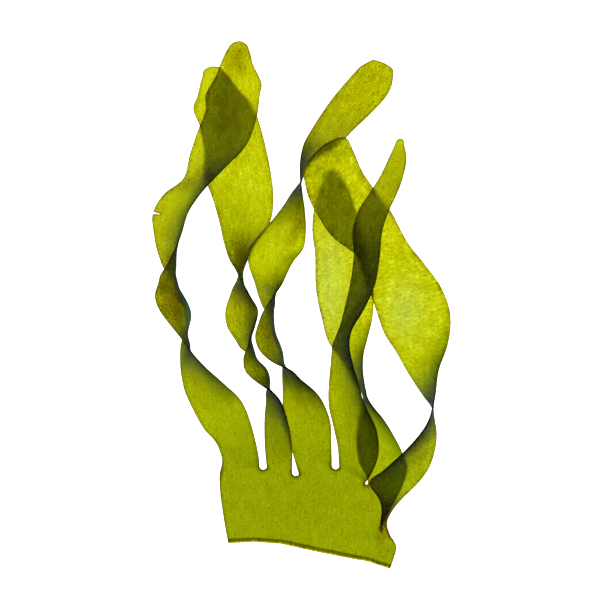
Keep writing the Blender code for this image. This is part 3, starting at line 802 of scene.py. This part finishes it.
def leaf_skin():
    """Vertices, faces, and leaf coordinates and colour values of the vertices
    of the whole closed skin.

    The top and bottom sheets stand half a thickness off the middle one along
    its normals, and share their points where that is nothing. The top one leans
    back from the cut by the square of the nearness to it. Rows between the two
    sheets close the cut.
    """
    layers, numbers = leaf_layers()
    base = len(layers["middle"])
    half = layers["half"][:, 0]
    is_open = half > 0.0
    shared = np.concatenate([number.reshape(-1) for number in numbers])
    normal = np.zeros((base, 3))
    np.add.at(normal, shared, layers["normal"])
    normal /= np.maximum(np.linalg.norm(normal, axis=1), TINY)[:, None]
    top = layers["middle"] + normal * half[:, None]
    bottom = layers["middle"] - normal * half[:, None]
    bottom[:, 2] = np.maximum(bottom[:, 2], 0.0)
    nearness = np.clip(1.0 - layers["from_cut"][:, 0] / CUT_REACH, 0.0, 1.0)
    top[:, 1] += CUT_SLANT * nearness**2 * UNIT * half / (0.5 * PALM_THICKNESS)

    faces = []
    for number in numbers:
        upper = quads(number)
        lower = np.where(is_open[upper], upper + base, upper)
        faces += [upper, lower[:, ::-1]]
    cut = np.concatenate([number[0, :-1] for number in numbers] + [numbers[-1][0, -1:]])
    rows = [cut]
    points = [top, bottom]
    source = [np.arange(base), np.arange(base)]
    for share in CUT_LEVELS:
        middle = top[cut] * (1.0 - share) + bottom[cut] * share
        middle[:, 1] -= CUT_BULGE * is_open[cut]
        fresh = sum(len(group) for group in points) + np.arange(len(cut))
        rows.append(np.where(is_open[cut], fresh, cut))
        points.append(middle)
        source.append(cut)
    rows.append(np.where(is_open[cut], cut + base, cut))
    faces.append(quads(np.array(rows)[:, ::-1]))
    used, packed = np.unique(np.concatenate(faces), return_inverse=True)
    source = np.concatenate(source)[used]
    values = {key: layers[key][source] for key in ("leaf", "depth_and_shade", "painted_sheen", "warmth")}
    return np.concatenate(points)[used], packed.reshape(-1, 4), values


def closed_faces(faces):
    """Face lists. A quad with two equal corners is a triangle, and one with
    more is left out."""
    same = faces == np.roll(faces, 1, axis=1)
    equal = same.sum(axis=1)
    triangles = faces[equal == 1][~same[equal == 1]].reshape(-1, 3)
    return faces[equal == 0].tolist() + triangles.tolist()


def build_frond():
    """The frond's object, with its leaf coordinates and colour values."""
    points, faces, values = leaf_skin()
    mesh = bpy.data.meshes.new("kelp_frond")
    mesh.from_pydata(points.tolist(), [], closed_faces(faces))
    mesh.validate()
    corners = np.empty(len(mesh.loops), dtype=np.int32)
    mesh.loops.foreach_get("vertex_index", corners)
    layer = mesh.uv_layers.new(name="leaf")
    layer.data.foreach_set("uv", values["leaf"][corners].ravel())
    for name in ("depth_and_shade", "painted_sheen", "warmth"):
        attribute = mesh.attributes.new(name, "FLOAT", "POINT")
        attribute.data.foreach_set("value", values[name].ravel())
    mesh.shade_smooth()
    mesh.set_sharp_from_angle(angle=math.radians(SHARP_ANGLE))
    item = bpy.data.objects.new("kelp_frond", mesh)
    bpy.context.scene.collection.objects.link(item)
    return item


class Nodes:
    """Small helper that adds and links nodes of one material."""

    def __init__(self, name):
        self.material = bpy.data.materials.new(name)
        self.material.use_nodes = True
        self.tree = self.material.node_tree
        self.tree.nodes.clear()

    def add(self, kind, **settings):
        node = self.tree.nodes.new(kind)
        for key, value in settings.items():
            setattr(node, key, value)
        return node

    def link(self, source, target):
        self.tree.links.new(source, target)

    def math(self, operation, first, second):
        node = self.add("ShaderNodeMath", operation=operation)
        for slot, value in enumerate((first, second)):
            if isinstance(value, (int, float)):
                node.inputs[slot].default_value = value
            else:
                self.link(value, node.inputs[slot])
        return node.outputs[0]

    def noise(self, vector, scale, detail):
        node = self.add("ShaderNodeTexNoise")
        node.inputs["Scale"].default_value = scale
        node.inputs["Detail"].default_value = detail
        self.link(vector, node.inputs["Vector"])
        return node.outputs["Fac"]

    def scaled(self, vector, scale):
        node = self.add("ShaderNodeMapping")
        node.inputs["Scale"].default_value = scale
        self.link(vector, node.inputs["Vector"])
        return node.outputs[0]

    def spread(self, value, low, high, to_low, to_high):
        node = self.add("ShaderNodeMapRange")
        self.link(value, node.inputs["Value"])
        ends = {"From Min": low, "From Max": high, "To Min": to_low, "To Max": to_high}
        for key, number in ends.items():
            node.inputs[key].default_value = number
        return node.outputs[0]


def kelp_material():
    """Wet, translucent kelp: rough, coloured flesh whose depth of colour varies
    with fine streaks along the leaf, grain, soft mottling and small dark specks.

    Each channel is its tint to the power of the depth, plus the painted sheen,
    a pale bluish reflection. Warmth deepens the green and thins the wet coat.
    """
    n = Nodes("kelp_flesh")
    uv = n.add("ShaderNodeUVMap", uv_map="leaf").outputs["UV"]
    place = n.add("ShaderNodeTexCoord").outputs["Object"]
    depth_and_shade = n.add("ShaderNodeAttribute", attribute_name="depth_and_shade").outputs["Fac"]
    # The painted sheen, a pale bluish reflection, is added to the colour below
    painted_sheen = n.add("ShaderNodeAttribute", attribute_name="painted_sheen").outputs["Fac"]
    warmth = n.add("ShaderNodeAttribute", attribute_name="warmth").outputs["Fac"]

    stretch, detail, streak_strength = STREAKS
    streak = n.noise(n.scaled(uv, stretch), 1.0, detail)
    stretch, detail, grain_strength = GRAIN
    grain = n.noise(n.scaled(uv, stretch), 1.0, detail)
    scale, detail, mottle_strength = MOTTLING
    mottle = n.noise(place, scale, detail)
    parts = n.math(
        "ADD",
        n.spread(streak, *NOISE_RANGE, -streak_strength, streak_strength),
        n.spread(mottle, *NOISE_RANGE, -mottle_strength, mottle_strength),
    )
    parts = n.math("ADD", parts, n.spread(grain, *NOISE_RANGE, -grain_strength, grain_strength))

    scale, (inner, outer), without, strength = SPECKS
    dots = n.add("ShaderNodeTexVoronoi")
    dots.inputs["Scale"].default_value = scale
    n.link(place, dots.inputs["Vector"])
    dot = n.spread(dots.outputs["Distance"], inner, outer, 1.0, 0.0)
    chosen = n.add("ShaderNodeSeparateColor")
    n.link(dots.outputs["Color"], chosen.inputs[0])
    some = n.math("GREATER_THAN", chosen.outputs[0], without)
    specks = n.math("MULTIPLY", n.math("MULTIPLY", dot, some), strength)

    limited = n.math("MINIMUM", depth_and_shade, VARIED_DEPTH)
    level = n.math("ADD", depth_and_shade, n.math("MULTIPLY", limited, n.math("ADD", parts, specks)))
    green_level = n.math("MULTIPLY", level, n.spread(warmth, -1.0, 1.0, *WARM_GREEN))

    colour = n.add("ShaderNodeCombineColor")
    for channel, tint, added in TINTS:
        deep = n.math("POWER", tint, green_level if channel == "Green" else level)
        n.link(n.math("ADD", deep, n.math("MULTIPLY", painted_sheen, added)), colour.inputs[channel])

    bump = n.add("ShaderNodeBump")
    bump.inputs["Strength"].default_value = 0.25
    bump.inputs["Distance"].default_value = 0.0006
    n.link(streak, bump.inputs["Height"])

    shader = n.add("ShaderNodeBsdfPrincipled")
    shader.inputs["Roughness"].default_value = 0.85
    shader.inputs["IOR"].default_value = 1.13
    shader.inputs["Transmission Weight"].default_value = 1.0
    shader.inputs["Coat Roughness"].default_value = 0.22
    shader.inputs["Coat IOR"].default_value = 1.16
    n.link(n.spread(warmth, -1.0, 1.0, *WARM_COAT), shader.inputs["Coat Weight"])
    n.link(colour.outputs[0], shader.inputs["Base Color"])
    n.link(bump.outputs[0], shader.inputs["Normal"])

    flesh = n.add("ShaderNodeVolumeAbsorption")
    flesh.inputs["Color"].default_value = (0.8033, 0.8355, 0.45, 1.0)
    flesh.inputs["Density"].default_value = 3800.0
    out = n.add("ShaderNodeOutputMaterial")
    n.link(shader.outputs[0], out.inputs["Surface"])
    n.link(flesh.outputs[0], out.inputs["Volume"])
    return n.material


def light_table():
    """A wide, plain, pale floor that glows evenly, just under the frond. A
    reflection sees it much dimmer."""
    mesh = bpy.data.meshes.new("light_table")
    signs = ((-1, -1), (1, -1), (1, 1), (-1, 1))
    corners = [(x * TABLE_HALF, y * TABLE_HALF, -TABLE_DROP) for x, y in signs]
    mesh.from_pydata(corners, [], [(0, 1, 2, 3)])
    item = bpy.data.objects.new("light_table", mesh)
    bpy.context.scene.collection.objects.link(item)
    n = Nodes("light_table")
    shader = n.add("ShaderNodeBsdfPrincipled")
    shader.inputs["Base Color"].default_value = (0.5, 0.5, 0.5, 1.0)
    shader.inputs["Roughness"].default_value = 0.9
    mirrored = n.add("ShaderNodeLightPath").outputs["Is Reflection Ray"]
    glow = n.add("ShaderNodeCombineColor")
    for channel, share in TABLE_MIRRORED:
        n.link(n.spread(mirrored, 0.0, 1.0, 1.0, share), glow.inputs[channel])
    n.link(glow.outputs[0], shader.inputs["Emission Color"])
    shader.inputs["Emission Strength"].default_value = TABLE_GLOW
    out = n.add("ShaderNodeOutputMaterial")
    n.link(shader.outputs[0], out.inputs["Surface"])
    mesh.materials.append(n.material)


def soft_light(name, place, size, power):
    """A square soft light over the table, facing the frond."""
    data = bpy.data.lights.new(name, "AREA")
    data.shape = "SQUARE"
    data.size = size
    data.energy = power
    item = bpy.data.objects.new(name, data)
    item.location = place
    direction = np.array(place) / -np.linalg.norm(place)
    pitch = math.acos(-direction[2])
    turn = math.atan2(direction[1], direction[0]) - math.pi / 2.0
    item.rotation_euler = (pitch, 0.0, turn)
    bpy.context.scene.collection.objects.link(item)


def camera_above():
    """A long lens looking straight down at the middle of the drawing, from
    where its frame is as wide as the drawing."""
    data = bpy.data.cameras.new("camera")
    data.lens = LENS
    data.sensor_width = SENSOR
    data.clip_end = FAR_LIMIT
    item = bpy.data.objects.new("camera", data)
    item.location = (SHIFT[0], SHIFT[1], FRAME_WIDTH * UNIT * LENS / SENSOR)
    bpy.context.scene.collection.objects.link(item)
    bpy.context.scene.camera = item


def room():
    """Dim, even room light and plain display colours."""
    world = bpy.data.worlds.new("room")
    world.use_nodes = True
    back = world.node_tree.nodes["Background"]
    back.inputs["Color"].default_value = (0.8, 0.93, 1.0, 1.0)
    back.inputs["Strength"].default_value = 0.06
    bpy.context.scene.world = world
    bpy.context.scene.view_settings.view_transform = "Standard"


frond = build_frond()
frond.data.materials.append(kelp_material())
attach(frond, "root")
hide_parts("palm", "strap_1", "strap_2", "strap_3", "strap_4", "strap_5", "strap_6")

light_table()
soft_light("soft_left", (-2.2, 1.0, 1.3), 1.2, 3.0)
soft_light("soft_right", (2.3, -0.8, 1.4), 1.2, 2.0)
room()
camera_above()
